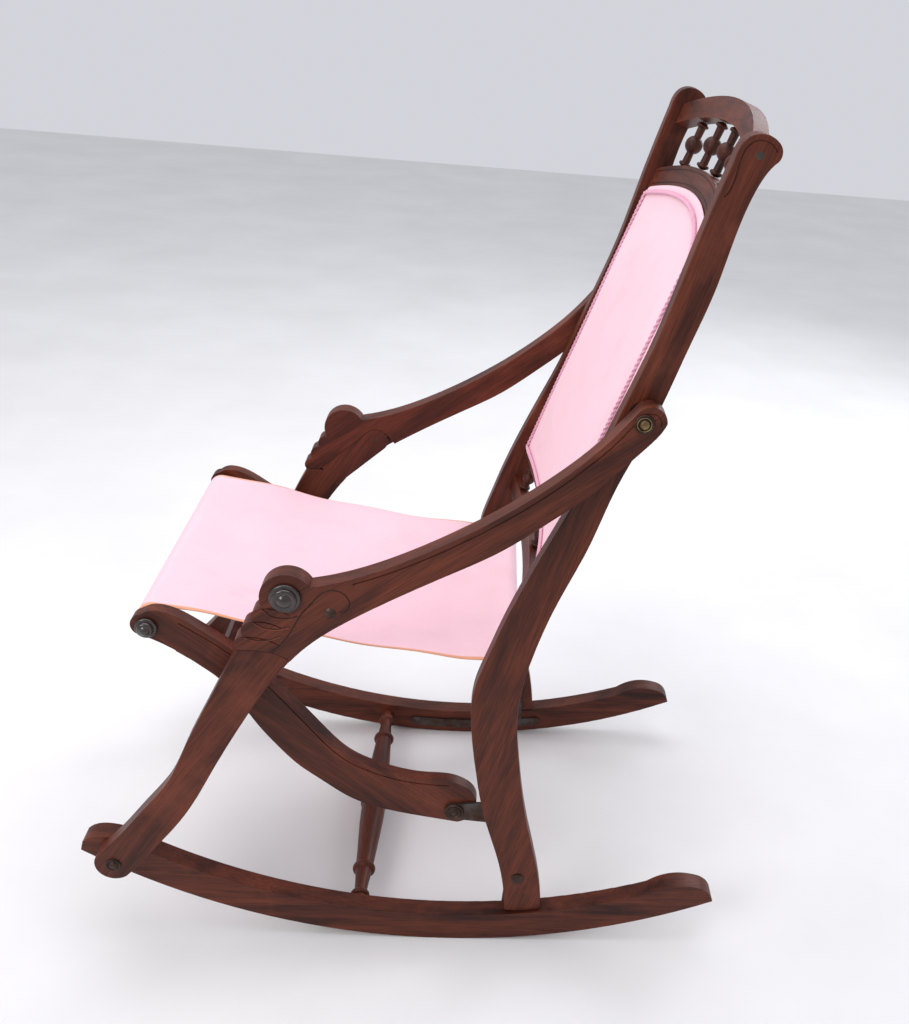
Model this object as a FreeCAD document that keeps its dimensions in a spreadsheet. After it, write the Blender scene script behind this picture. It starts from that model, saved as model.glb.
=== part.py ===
# Folding rocking chair with a sling seat, a turned-spindle back and curved runners.
# X runs from the front of the chair to its back, Y across it, Z up; the floor is Z = 0.
# The chair is drawn open, with the legs' feet on the runners. Lengths are millimetres.
import FreeCAD
import Part
import Sketcher
import math
import os

doc = FreeCAD.newDocument("folding_rocker")
V = FreeCAD.Vector

sheet = doc.addObject("Spreadsheet::Sheet", "dims")
sizes = {
    "runner_inner": 196.0,
    "runner_thick": 24.0,
    "runner_radius": 776.0,
    "runner_depth": 39.0,
    "side_clear": 0.3,
    "post_thick": 19.7,
    "arm_clear": 0.5,
    "arm_thick": 22.0,
    "lap_depth": 11.2,
    "lap_clear": 0.4,
    "rail_thick": 15.0,
    "strap_thick": 3.0,
    "lug_thick": 3.0,
    "foot_pin_radius": 5.0,
    "arm_pin_radius": 5.0,
    "knee_pin_radius": 3.5,
    "seat_pin_radius": 4.0,
    "toe_pin_radius": 3.5,
    "pin_clear": 0.06,
    "front_roller_radius": 13.0,
    "rear_roller_radius": 11.0,
    "cross_rail_wide": 24.0,
    "cross_rail_deep": 14.0,
    "crest_high": 25.4,
    "crest_thick": 17.0,
    "upper_rail_high": 34.0,
    "upper_rail_thick": 15.0,
    "panel_rail_high": 20.0,
    "panel_rail_thick": 15.0,
    "bottom_rail_high": 22.0,
    "bottom_rail_thick": 15.0,
    "groove_deep": 1.2,
    "edge_ease": 1.2,
    "cloth_thick": 3.0,
    "panel_cloth": 4.0,
    "lining_thick": 2.4,
}
sizes["post_inner"] = sizes["runner_inner"] + sizes["side_clear"]
sizes["arm_inner"] = sizes["runner_inner"] + sizes["runner_thick"] + sizes["arm_clear"]
sizes["rail_inner"] = sizes["post_inner"] - sizes["lug_thick"] - 2 * sizes["side_clear"] - sizes["rail_thick"]
for row, (alias, value) in enumerate(sizes.items(), start=1):
    sheet.set("A%d" % row, alias.replace("_", " "))
    sheet.set("B%d" % row, str(value))
    sheet.setAlias("B%d" % row, alias)
doc.recompute()

# Pivots of the folding linkage and the seat, as seen from the side.
FOOT = (133.3, 98.8)
SHOULDER = (214.5, 711.9)
KNEE = (-86.1, 482.5)
TOE = (-336.0, 129.0)
SEAT_PIN = (51.8, 183.1)
FRONT_ROLLER = (-289.8, 423.0)
REAR_ROLLER = (103.5, 371.0)
ARC_CENTRE = (48.5, sizes["runner_radius"])
HEAD = (-131.6, 498.7)
BACK_FOOT = (124.3, 500.7)
BACK_LEAN = 19.2
HALF_GAP = sizes["post_inner"]
post_outer = sizes["post_inner"] + sizes["post_thick"]
arm_outer = sizes["arm_inner"] + sizes["arm_thick"]
lug_face = sizes["post_inner"] - sizes["lug_thick"]
rail_outer = sizes["rail_inner"] + sizes["rail_thick"]
BOW = 18.0
ARCH = 34.0
bodies = []


def polar(centre, radius, degrees):
    a = math.radians(degrees)
    return (centre[0] + radius * math.cos(a), centre[1] + radius * math.sin(a))


def shifted(points, distance):
    # The same run of points moved sideways, to the left of the way it runs.
    out = []
    last = len(points) - 1
    for i, p in enumerate(points):
        a = points[max(i - 1, 0)]
        b = points[min(i + 1, last)]
        dx, dz = b[0] - a[0], b[1] - a[1]
        n = math.hypot(dx, dz)
        out.append((p[0] - dz / n * distance, p[1] + dx / n * distance))
    return out


def make_body(label, x=0.0, y=0.0, z=0.0, rotation=None):
    body = doc.addObject("PartDesign::Body", label)
    body.Label = label
    body.Placement = FreeCAD.Placement(V(x, y, z), rotation or FreeCAD.Rotation())
    bodies.append(body)
    return body


def make_sketch(body, name, plane="XZ_Plane", offset=0.0):
    sk = body.newObject("Sketcher::SketchObject", body.Name + "_" + name)
    origin = [f for f in body.Origin.OriginFeatures if f.Role == plane][0]
    sk.AttachmentSupport = [(origin, "")]
    sk.MapMode = "FlatFace"
    sk.AttachmentOffset = FreeCAD.Placement(V(0, 0, offset), FreeCAD.Rotation())
    return sk


def draw(sk, path):
    # Draws a closed outline: lines, arcs through a middle point, and smooth curves.
    here = path[0]
    for step in path[1:]:
        kind = step[0]
        if kind == "line":
            end = step[1]
            geo = Part.LineSegment(V(here[0], here[1], 0), V(end[0], end[1], 0))
        elif kind == "arc":
            mid, end = step[1], step[2]
            geo = Part.Arc(V(here[0], here[1], 0), V(mid[0], mid[1], 0), V(end[0], end[1], 0))
        else:
            through = [here] + list(step[1])
            end = through[-1]
            geo = Part.BSplineCurve()
            geo.interpolate([V(p[0], p[1], 0) for p in through])
        sk.addGeometry(geo, False)
        here = end


def draw_circle(sk, centre, expression, value):
    index = sk.addGeometry(Part.Circle(V(centre[0], centre[1], 0), V(0, 0, 1), value), False)
    sk.addConstraint(Sketcher.Constraint("Radius", index, value))
    number = sk.ConstraintCount - 1
    name = "radius_%d" % number
    sk.renameConstraint(number, name)
    sk.setExpression("Constraints." + name, expression)


def pad(body, sk, expression, name="pad", turned=False, both=False):
    feature = body.newObject("PartDesign::Pad", body.Name + "_" + name)
    feature.Profile = sk
    feature.setExpression("Length", expression)
    feature.Reversed = turned
    feature.Midplane = both
    body.Tip = feature
    return feature


def pocket(body, sk, expression, name="pocket", turned=False, both=False):
    feature = body.newObject("PartDesign::Pocket", body.Name + "_" + name)
    feature.Profile = sk
    feature.setExpression("Length", expression)
    feature.Reversed = turned
    feature.Midplane = both
    body.Tip = feature
    return feature


def ease_faces(body, axis, expression="dims.edge_ease"):
    # Takes the sharp edge off both broad faces of a board.
    doc.recompute()
    base = body.Tip
    picked = []
    for i, face in enumerate(base.Shape.Faces):
        if not isinstance(face.Surface, Part.Plane):
            continue
        if abs(face.normalAt(0, 0).dot(axis)) > 0.99 and face.Area > 0.25 * max(f.Area for f in base.Shape.Faces):
            picked.append("Face%d" % (i + 1))
    feature = body.newObject("PartDesign::Fillet", body.Name + "_ease")
    feature.setExpression("Radius", expression)
    body.Tip = feature
    for choice in [picked] + [[name] for name in picked]:
        feature.Base = (base, choice)
        doc.recompute()
        shape = feature.Shape
        if "Invalid" not in feature.State and not shape.isNull() and shape.isValid():
            return
    body.Tip = base
    body.removeObject(feature)
    doc.removeObject(feature.Name)
    doc.recompute()
    print("edge left sharp", body.Label)


def board(label, side, path, inner, thick, holes=()):
    # A sawn board standing along the chair, its inner face at the given distance from the middle.
    body = make_body(label)
    body.setExpression(".Placement.Base.y", "%s%s" % ("-" if side < 0 else "", inner))
    sk = make_sketch(body, "outline")
    draw(sk, path)
    for centre, expression, value in holes:
        draw_circle(sk, centre, expression, value)
    pad(body, sk, thick, turned=side > 0)
    return body


def outer_groove(body, side, path, thick_value, name="groove"):
    # A line cut in the outer face.
    sk = make_sketch(body, name + "_line", offset=thick_value * (1 if side < 0 else -1))
    draw(sk, path)
    pocket(body, sk, "dims.groove_deep", name=name, turned=side > 0)


def facing(side):
    # Stands a turned piece on a side face, its axis pointing outwards.
    return FreeCAD.Rotation(V(1, 0, 0), 90 if side < 0 else -90)


def turned(label, place, rotation, path):
    # A piece turned on a lathe: the outline holds radius and height.
    body = make_body(label, place[0], place[1], place[2], rotation)
    sk = make_sketch(body, "profile")
    draw(sk, path)
    feature = body.newObject("PartDesign::Revolution", body.Name + "_turning")
    feature.Profile = sk
    feature.ReferenceAxis = (sk, ["V_Axis"])
    feature.Angle = 360
    body.Tip = feature
    return body


def dome(radius, base, height):
    # The round top of a button or rivet, from its rim to the axis.
    ball = (radius ** 2 + height ** 2) / (2 * height)
    half_way = math.asin(radius / ball) / 2
    mid = (ball * math.sin(half_way), base + height - ball + ball * math.cos(half_way))
    return ("arc", mid, (0, base + height))


def add_shank(body, expression_radius, expression_length, start, name="shank"):
    feature = body.newObject("PartDesign::AdditiveCylinder", body.Name + "_" + name)
    feature.setExpression("Radius", expression_radius)
    feature.setExpression("Height", expression_length)
    feature.AttachmentOffset = FreeCAD.Placement(V(0, 0, start), FreeCAD.Rotation())
    feature.MapMode = "FlatFace"
    origin = [f for f in body.Origin.OriginFeatures if f.Role == "XY_Plane"][0]
    feature.AttachmentSupport = [(origin, "")]
    body.Tip = feature
    return feature


# Runners: long shallow arcs that meet the floor under the chair's weight.
def on_arc(radius, x):
    return (x, ARC_CENTRE[1] - math.sqrt(radius ** 2 - (x - ARC_CENTRE[0]) ** 2))


low = sizes["runner_radius"]
high = low - sizes["runner_depth"]
runner_path = [
    on_arc(low, -380.0),
    ("arc", on_arc(low, 48.5), on_arc(low, 378.5)),
    ("arc", (373.5, 84.5), (356.0, 95.0)),
    ("curve", [(330.0, 97.0), on_arc(high, 297.2)]),
    ("arc", on_arc(high, 48.5), on_arc(high, -300.0)),
    ("curve", [(-322.0, 141.5), (-345.0, 149.0), (-364.0, 149.0), (-377.0, 141.5)]),
    ("line", on_arc(low, -380.0)),
]
runner_holes = []
for side, hand in ((-1, "left"), (1, "right")):
    runner = board("runner_" + hand, side, runner_path, "dims.runner_inner", "dims.runner_thick")
    ease_faces(runner, V(0, 1, 0))

# Iron hinge straps let along the runners' inner faces, with an ear up to the posts' foot pins.
band_low = low - 11.0
band_high = low - 25.0
strap_front = (-17.3, 0)
strap_rear = (170.0, 0)
for side, hand in ((-1, "left"), (1, "right")):
    body = make_body("hinge_strap_" + hand)
    body.setExpression(".Placement.Base.y", "%sdims.runner_inner" % ("-" if side < 0 else ""))
    sk = make_sketch(body, "outline")
    mid_r = (band_low + band_high) / 2
    f = on_arc(mid_r, -17.3)
    r = on_arc(mid_r, 170.0)
    draw(sk, [
        on_arc(band_low, -15.3),
        ("arc", on_arc(band_low, 77.0), on_arc(band_low, 169.0)),
        ("arc", (r[0] + 7.0, r[1] + 1.1), on_arc(band_high, 167.5)),
        ("arc", on_arc(band_high, 158.0), on_arc(band_high, 149.0)),
        ("line", (FOOT[0] + 12.9, FOOT[1] - 1.5)),
        ("arc", (FOOT[0], FOOT[1] + 13.0), (FOOT[0] - 12.9, FOOT[1] - 1.5)),
        ("line", on_arc(band_high, 117.0)),
        ("arc", on_arc(band_high, 50.0), on_arc(band_high, -15.8)),
        ("arc", (f[0] - 7.0, f[1] - 0.6), on_arc(band_low, -15.3)),
    ])
    draw_circle(sk, FOOT, "dims.foot_pin_radius + dims.pin_clear", 5.06)
    pad(body, sk, "dims.strap_thick", turned=side < 0)
    for n, x in (("front", -14.0), ("rear", 166.0)):
        spot = on_arc(mid_r, x)
        bolt = turned(
            "strap_bolt_%s_%s" % (n, hand), (spot[0], side * (sizes["runner_inner"] - sizes["strap_thick"]), spot[1]), facing(-side),
            [(0, 0), ("line", (6.0, 0)), dome(6.0, 0, 2.1), ("line", (0, 0))])

# Turned floor stretcher between the runners.
half = sizes["runner_inner"]
stretcher_path = [
    (0, -half), ("line", (9.0, -half)), ("line", (9.0, -half + 12)),
    ("arc", (12.0, -half + 16), (9.0, -half + 20)), ("line", (7.6, -half + 21)),
    ("curve", [(8.6, -half + 36), (10.4, -half + 56)]),
    ("line", (13.2, -half + 58)), ("arc", (14.6, -half + 61.5), (13.2, -half + 65)),
    ("line", (11.2, -half + 66)),
    ("curve", [(13.2, -90), (15.6, -45), (16.4, -14)]),
    ("line", (18.0, -12)), ("arc", (19.0, 0), (18.0, 12)), ("line", (16.4, 14)),
    ("curve", [(15.6, 45), (13.2, 90), (11.2, half - 66)]),
    ("line", (13.2, half - 65)), ("arc", (14.6, half - 61.5), (13.2, half - 58)), ("line", (10.4, half - 56)),
    ("curve", [(8.6, half - 36), (7.6, half - 21)]),
    ("line", (9.0, half - 20)), ("arc", (12.0, half - 16), (9.0, half - 12)),
    ("line", (9.0, half)), ("line", (0, half)), ("line", (0, -half)),
]
turned("floor_stretcher", (-61.0, 0, 28.0), FreeCAD.Rotation(V(1, 0, 0), 90), stretcher_path)

# Back posts: long sabre curves with a square heel on the runner and a scrolled top.
post_front = [
    (114.4, 97.1), (103.7, 140.4), (86.9, 196.2), (74.4, 260.3), (66.1, 321.9), (64.7, 349.8),
    (67.4, 377.2), (76.8, 409.1), (91.1, 452.5), (109.1, 500.2), (137.6, 566.8), (157.8, 612.7),
    (190.0, 700.0), (221.1, 787.7), (244.8, 875.0), (259.5, 926.5), (268.9, 957.4),
]
post_crown = [
    (271.8, 967.5), (277.3, 976.1), (286.0, 981.0), (295.5, 981.2), (305.0, 977.2), (311.0, 970.4),
    (311.8, 963.6), (307.4, 956.6),
]
post_rear = [
    (302.4, 950.6), (296.4, 940.0), (289.3, 922.0), (281.4, 893.2), (269.9, 840.0), (251.9, 780.3), (236.2, 728.8),
    (216.7, 674.9), (198.5, 629.2), (178.0, 563.2), (149.3, 488.5), (128.9, 421.5), (118.6, 365.5),
    (118.1, 324.3), (123.1, 277.5), (135.9, 198.3), (153.0, 126.5), (161.7, 83.1), (165.3, 49.2),
]
heel_front = polar(FOOT, 54.1, 256.0)
heel_flat = (140.2, 45.1)
post_path = (
    [heel_front]
    + [("line", (118.3, 66.0)), ("curve", post_front)]
    + [("curve", post_crown), ("curve", post_rear)]
    + [("arc", (152.8, 46.9), heel_flat), ("arc", polar(FOOT, 54.1, 266.5), heel_front)]
)
for side, hand in ((-1, "left"), (1, "right")):
    post = board(
        "post_" + hand, side, post_path, "dims.post_inner", "dims.post_thick",
        holes=[(FOOT, "dims.foot_pin_radius", 5.0), (SHOULDER, "dims.arm_pin_radius", 5.0)])
    ease_faces(post, V(0, 1, 0))
    foot_cap = post_outer - sizes["runner_inner"]
    bolt_cap = arm_outer - post_outer + 0.3
    rim = shifted([(259.5, 926.5), (268.9, 957.4)] + post_crown[:6], -5.0)
    rim_in = shifted([(259.5, 926.5), (268.9, 957.4)] + post_crown[:6], -6.4)
    outer_groove(post, side, [
        rim[0], ("curve", rim[1:]), ("line", rim_in[-1]), ("curve", rim_in[-2::-1]), ("line", rim[0]),
    ], sizes["post_thick"], name="rim")
    plug = turned(
        "scroll_plug_" + hand, (291.5, side * post_outer, 963.0), facing(side),
        [(0, 0), ("line", (3.6, 0)), dome(3.6, 0, 0.5), ("line", (0, 0))])
    pin = turned(
        "foot_pin_" + hand, (FOOT[0], side * sizes["runner_inner"], FOOT[1]), facing(side),
        [(0, foot_cap), ("line", (7.5, foot_cap)), ("line", (7.5, foot_cap + 1.2)),
         dome(7.5, foot_cap + 1.2, 2.2), ("line", (0, foot_cap))])
    add_shank(pin, "dims.foot_pin_radius", "dims.post_thick + dims.strap_thick + 0.4", -3.1)
    bolt = turned(
        "arm_bolt_" + hand, (SHOULDER[0], side * post_outer, SHOULDER[1]), facing(side),
        [(0, 0), ("line", (13.0, 0)), ("line", (13.0, 4.2)), ("line", (0, 4.2)), ("line", (0, 0))])
    add_shank(bolt, "dims.arm_pin_radius", "dims.arm_thick + 25.0", -19.8)
    sk = make_sketch(bolt, "cap")
    draw(sk, [(0, bolt_cap), ("line", (9.8, bolt_cap)), ("arc", (8.9, bolt_cap + 2.0), (7.6, bolt_cap + 1.2)),
              ("line", (6.0, bolt_cap + 1.2)), dome(6.0, bolt_cap + 1.2, 3.6), ("line", (0, bolt_cap))])
    cap = bolt.newObject("PartDesign::Revolution", bolt.Name + "_cap_turning")
    cap.Profile = sk
    cap.ReferenceAxis = (sk, ["V_Axis"])
    cap.Angle = 360
    bolt.Tip = cap

# Iron lugs that carry the seat rails in front of the posts.
for side, hand in ((-1, "left"), (1, "right")):
    body = make_body("seat_lug_" + hand)
    body.setExpression(".Placement.Base.y", "%sdims.post_inner" % ("-" if side < 0 else ""))
    sk = make_sketch(body, "outline")
    draw(sk, [
        polar(SEAT_PIN, 11.0, 100), ("arc", polar(SEAT_PIN, 11.0, 180), polar(SEAT_PIN, 11.0, 260)),
        ("line", (118.0, 166.0)), ("arc", (130.0, 176.0), (128.0, 190.0)),
        ("arc", (122.0, 199.0), (110.0, 200.0)), ("line", polar(SEAT_PIN, 11.0, 100)),
    ])
    draw_circle(sk, SEAT_PIN, "dims.seat_pin_radius + dims.pin_clear", 4.06)
    pad(body, sk, "dims.lug_thick", turned=side < 0)
    pin = turned(
        "seat_pin_" + hand, (SEAT_PIN[0], side * lug_face, SEAT_PIN[1]), facing(side),
        [(0, 3.0), ("line", (11.6, 3.0)), ("arc", (10.6, 5.2), (9.0, 4.4)), ("line", (8.2, 4.4)),
         ("arc", (7.2, 5.6), (6.0, 4.8)), ("line", (5.0, 4.8)), dome(5.0, 4.8, 1.8), ("line", (0, 3.0))])
    add_shank(pin, "dims.seat_pin_radius", "dims.rail_thick + 6", -16.6)
    for n, spot in (("upper", (116.0, 190.5)), ("lower", (116.0, 175.5))):
        screw = turned(
            "lug_screw_%s_%s" % (n, hand), (spot[0], side * lug_face, spot[1]), facing(-side),
            [(0, 0), ("line", (3.6, 0)), dome(3.6, 0, 0.45), ("line", (0, 0))])

# Rails of the back, drawn in a frame that leans with the posts: sawn to a bow and an arch.
lean = FreeCAD.Rotation(V(0, 1, 0), BACK_LEAN)


def back_point(x, y, z):
    p = lean.multVec(V(x, y, z))
    return (BACK_FOOT[0] + p.x, y, BACK_FOOT[1] + p.z)


def back_board(label, front, thick, low_edge, high_edge, arch, half_width, low_arch=None):
    # Front view first, then the bow is sawn through it.
    body = make_body(label, BACK_FOOT[0], 0, BACK_FOOT[1], lean)
    sk = make_sketch(body, "front_view", "YZ_Plane")
    w = half_width
    low_arch = arch if low_arch is None else low_arch
    top = ("arc", (0, high_edge + arch), (-w, high_edge)) if arch else ("line", (-w, high_edge))
    foot = ("arc", (0, low_edge + low_arch), (w, low_edge)) if low_arch else ("line", (w, low_edge))
    draw(sk, [(w, low_edge), ("line", (w, high_edge)), top, ("line", (-w, low_edge)), foot])
    blank = body.newObject("PartDesign::Pad", body.Name + "_blank")
    blank.Profile = sk
    blank.Length = 90
    blank.Midplane = True
    body.Tip = blank
    cut = make_sketch(body, "bow", "XY_Plane")
    back = front + thick
    e = half_width + 2
    dip = BOW * (1 - (e / HALF_GAP) ** 2)
    draw(cut, [(-46, -e), ("line", (front + dip, -e)), ("arc", (front + BOW, 0), (front + dip, e)),
               ("line", (-46, e)), ("line", (-46, -e))])
    draw(cut, [(70, -e), ("line", (back + dip, -e)), ("arc", (back + BOW, 0), (back + dip, e)),
               ("line", (70, e)), ("line", (70, -e))])
    saw = body.newObject("PartDesign::Pocket", body.Name + "_sawn_bow")
    saw.Profile = cut
    saw.Length = 1200
    saw.Midplane = True
    body.Tip = saw
    return body


crest_low = 464.3
upper_low = 373.6
panel_rail_low = -14.0
bottom_low = -72.0
upper_high = upper_low + sizes["upper_rail_high"]
bottom_high = bottom_low + sizes["bottom_rail_high"]
crest = back_board(
    "crest_rail", -0.5, sizes["crest_thick"], crest_low, crest_low + sizes["crest_high"], ARCH, HALF_GAP)
upper = back_board("upper_rail", 3.0, sizes["upper_rail_thick"], upper_low, upper_high, ARCH, HALF_GAP)
panel_rail = back_board(
    "panel_rail", 3.0, sizes["panel_rail_thick"], panel_rail_low, panel_rail_low + sizes["panel_rail_high"],
    0, HALF_GAP)
bottom = back_board("bottom_rail", 3.0, sizes["bottom_rail_thick"], bottom_low, bottom_high, 0, HALF_GAP)
cloth_half = HALF_GAP - 5.3
panel = back_board("back_panel", -1.5, 4.2, -8.0, 374.5 + 8.0, ARCH, cloth_half, low_arch=0)
lining = back_board("back_lining", 18.3, sizes["lining_thick"], -12.0, 398.0, ARCH, cloth_half, low_arch=0)


def bow_at(y):
    return BOW * (1 - (y / HALF_GAP) ** 2)


def arch_at(y):
    return ARCH * (1 - (y / HALF_GAP) ** 2)


# Turned spindles: a gallery of balls under the crest and a shorter one under the panel.
def spindle_path(length, ball):
    m = length / 2
    rise = math.sqrt(ball ** 2 - 4.4 ** 2)
    ball_end = (6.0 ** 2 + 2.2 ** 2) / (2 * 2.2)
    foot_mid = (3.2, ball_end - math.sqrt(ball_end ** 2 - 3.2 ** 2))
    return [
        (0, 0), ("arc", foot_mid, (6.0, 2.2)), ("arc", (7.4, 4.2), (6.0, 6.2)),
        ("line", (4.8, 6.6)), ("line", (4.4, m - rise)), ("arc", (ball, m), (4.4, m + rise)),
        ("line", (4.8, length - 6.6)), ("line", (6.0, length - 6.2)),
        ("arc", (7.4, length - 4.2), (6.0, length - 2.2)),
        dome(6.0, length - 2.2, 2.2), ("line", (0, 0)),
    ]


for i, y in enumerate((132.0, 66.0, 0.0, -66.0, -132.0), start=1):
    foot = back_point(9.5 + bow_at(y), y, upper_high + arch_at(y) + 0.45)
    turned("crest_spindle_%d" % i, foot, lean, spindle_path(crest_low - upper_high - 1.0, 10.5))
for i, y in enumerate((160.0, 80.0, 0.0, -80.0, -160.0), start=1):
    foot = back_point(10.5 + bow_at(y), y, bottom_high + 0.2)
    turned("gallery_spindle_%d" % i, foot, lean, spindle_path(panel_rail_low - bottom_high - 0.4, 8.5))

# Rear seat roller, fixed between the posts.
roller = make_body("rear_roller", REAR_ROLLER[0], HALF_GAP, REAR_ROLLER[1], FreeCAD.Rotation(V(1, 0, 0), 90))
add_shank(roller, "dims.rear_roller_radius", "2 * dims.post_inner", 0.0)

# Arms with their scalloped heads; the knee of each leg laps into the inside of the head.
arm_top = [
    (-106.6, 511.9), (-65.5, 523.4), (-16.1, 544.7), (33.8, 572.0), (82.3, 603.2), (129.4, 639.4),
    (174.9, 682.4), (192.2, 702.9), (206.0, 721.0),
]
arm_low = [
    (231.6, 702.6), (222.3, 690.5), (205.9, 672.0), (178.4, 641.5), (132.6, 601.5), (84.6, 564.3),
    (34.9, 535.0), (-14.9, 506.6), (-65.4, 475.2), (-96.6, 452.5), (-128.0, 421.0),
]
cap_at = sizes["arm_thick"]
cusps = [(-154.4, 483.7), (-165.1, 467.8), (-175.5, 448.8), (-183.4, 432.4)]
lobes = [(-166.4, 476.7), (-177.0, 459.8), (-185.8, 441.6)]
arm_path = (
    [arm_top[0], ("curve", arm_top[1:]), ("arc", (223.5, 729.2), (236.8, 713.0)), ("curve", arm_low)]
    + [("curve", [(-138.0, 427.4), (-150.7, 431.3), (-167.0, 432.6), cusps[3]])]
    + [("arc", lobes[2], cusps[2]), ("arc", lobes[1], cusps[1]), ("arc", lobes[0], cusps[0])]
    + [("arc", polar(HEAD, 26.0, 120), arm_top[0])]
)
lap_way = 222.2
for side, hand in ((-1, "left"), (1, "right")):
    arm = board(
        "arm_" + hand, side, arm_path, "dims.arm_inner", "dims.arm_thick",
        holes=[(SHOULDER, "dims.arm_pin_radius + dims.pin_clear", 5.06),
               (KNEE, "dims.knee_pin_radius", 3.5)])
    ease_faces(arm, V(0, 1, 0))
    # Space for the knee's tongue, open towards the rear so the leg can close under the arm.
    sk = make_sketch(arm, "lap")
    r = 17.0
    start = polar(KNEE, r, lap_way - 90)
    away = polar(start, 120.0, lap_way)
    swing = polar(KNEE, r, lap_way - 90 - 88)
    out = polar(swing, 60.0, lap_way + 90)
    draw(sk, [
        away, ("line", start), ("arc", polar(KNEE, r, lap_way - 134), swing),
        ("line", out), ("line", (out[0], out[1] - 60)), ("line", (away[0] + 20, away[1] - 40)),
        ("line", away),
    ])
    pocket(arm, sk, "dims.lap_depth + dims.lap_clear", name="lap_cut", turned=side < 0)
    # A bead along the top edge, set off by a fine line.
    bead_run = arm_top[1:] + [(215.0, 727.6), (226.5, 727.8), (234.6, 721.0), (236.6, 712.0)]
    bead = shifted(bead_run, -5.2)
    bead_low = shifted(bead_run, -6.6)
    outer_groove(arm, side, [
        bead[0], ("curve", bead[1:]), ("line", bead_low[-1]), ("curve", bead_low[-2::-1]), ("line", bead[0]),
    ], sizes["arm_thick"], name="bead")
    # Carved lines run from each cusp of the scallops towards the knee.
    for n, cusp in enumerate(cusps[:3], start=1):
        reach = (cusp[0] + (28.0, 34.0, 40.0)[n - 1], cusp[1] + (-8.0, -10.0, -11.0)[n - 1])
        mid = ((cusp[0] + reach[0]) / 2 + 1.0, (cusp[1] + reach[1]) / 2 + 3.5)
        start = (cusp[0] - 4.0, cusp[1] - 1.0)
        outer_groove(arm, side, [
            start, ("arc", (mid[0], mid[1] + 0.9), reach), ("arc", (mid[0], mid[1] - 0.9), start),
        ], sizes["arm_thick"], name="carving_%d" % n)
    button = turned(
        "head_button_" + hand, (HEAD[0], side * arm_outer, HEAD[1]), facing(side),
        [(0, 0), ("line", (15.0, 0)), ("arc", (16.4, 2.0), (15.0, 4.0)), ("line", (12.6, 4.4)),
         ("arc", (12.6, 7.0), (10.6, 8.4)), ("line", (8.0, 8.0)), dome(8.0, 8.0, 4.0),
         ("line", (0, 0))])
    rivet = turned(
        "knee_rivet_" + hand, (KNEE[0], side * sizes["arm_inner"], KNEE[1]), facing(side),
        [(0, cap_at), ("line", (6.2, cap_at)), dome(6.2, cap_at, 2.6), ("line", (0, cap_at))])
    add_shank(rivet, "dims.knee_pin_radius", "dims.arm_thick + 0.2", 0.1)

# Front legs, curved, with a tongue at the knee and a round toe beside the runner.
leg_front = [
    (-184.6, 428.6), (-190.9, 417.4), (-203.7, 391.2), (-222.4, 351.5), (-246.9, 297.2), (-265.4, 254.5),
    (-297.7, 209.6), (-320.2, 179.5), (-348.6, 147.0),
]
leg_rear = [
    (-313.3, 121.9), (-293.4, 147.7), (-271.7, 175.7), (-256.4, 197.0), (-241.5, 221.4), (-216.6, 270.7),
    (-195.0, 312.7), (-172.4, 353.7), (-149.6, 391.8), (-128.6, 420.4),
]
leg_path = (
    [(-184.2, 432.0), ("line", leg_front[0]), ("curve", leg_front[1:])]
    + [("arc", polar(TOE, 22.0, 215), (-322.9, 111.3)), ("line", leg_rear[0]), ("curve", leg_rear[1:])]
    + [("curve", [(-138.2, 427.0), (-150.7, 430.9), (-167.0, 432.2), (-184.2, 432.0)])]
)
for side, hand in ((-1, "left"), (1, "right")):
    leg = board(
        "leg_" + hand, side, leg_path, "dims.arm_inner", "dims.arm_thick",
        holes=[(TOE, "dims.toe_pin_radius", 3.5)])
    ease_faces(leg, V(0, 1, 0))
    sk = make_sketch(leg, "tongue")
    r = 16.5
    a = polar(KNEE, r, lap_way - 90)
    b = polar(KNEE, r, lap_way + 90)
    draw(sk, [
        polar(a, 88.0, lap_way), ("line", a), ("arc", polar(KNEE, r, lap_way + 180), b),
        ("line", polar(b, 88.0, lap_way)), ("line", polar(a, 88.0, lap_way)),
    ])
    draw_circle(sk, KNEE, "dims.knee_pin_radius + dims.pin_clear", 3.56)
    pad(leg, sk, "dims.lap_depth", name="tongue_pad", turned=side > 0)
    bolt = turned(
        "toe_rivet_" + hand, (TOE[0], side * sizes["arm_inner"], TOE[1]), facing(side),
        [(0, cap_at), ("line", (8.8, cap_at)), ("arc", (7.9, cap_at + 1.8), (6.6, cap_at + 1.1)),
         ("line", (5.2, cap_at + 1.1)), dome(5.2, cap_at + 1.1, 2.6), ("line", (0, cap_at))])
    add_shank(bolt, "dims.toe_pin_radius", "dims.arm_thick + 0.4", 0.0)

# Seat rails between the posts, with the front roller, a cross rail and button ends.
rail_top = [
    (-295.1, 438.6), (-284.6, 444.0), (-272.4, 443.6), (-251.7, 435.3), (-231.5, 422.0), (-200.4, 399.5),
    (-148.7, 345.7), (-104.9, 291.2), (-70.8, 256.0), (-42.4, 241.3), (-13.5, 231.8), (16.0, 227.3),
    (45.2, 225.7), (62.0, 219.0),
]
rail_low = [
    (56.4, 164.5), (17.6, 171.2), (-11.8, 176.7), (-41.5, 184.2), (-70.8, 196.8), (-106.1, 222.9),
    (-128.7, 241.0), (-150.8, 265.2), (-172.3, 293.5), (-190.0, 322.0), (-216.1, 360.0), (-234.5, 375.5),
    (-254.9, 390.9), (-275.0, 403.2), (-295.9, 412.5),
]
rail_path = (
    [rail_top[0], ("curve", rail_top[1:]), ("arc", (78.0, 190.0), rail_low[0]), ("curve", rail_low[1:])]
    + [("arc", (-307.0, 425.0), rail_top[0])]
)
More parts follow.
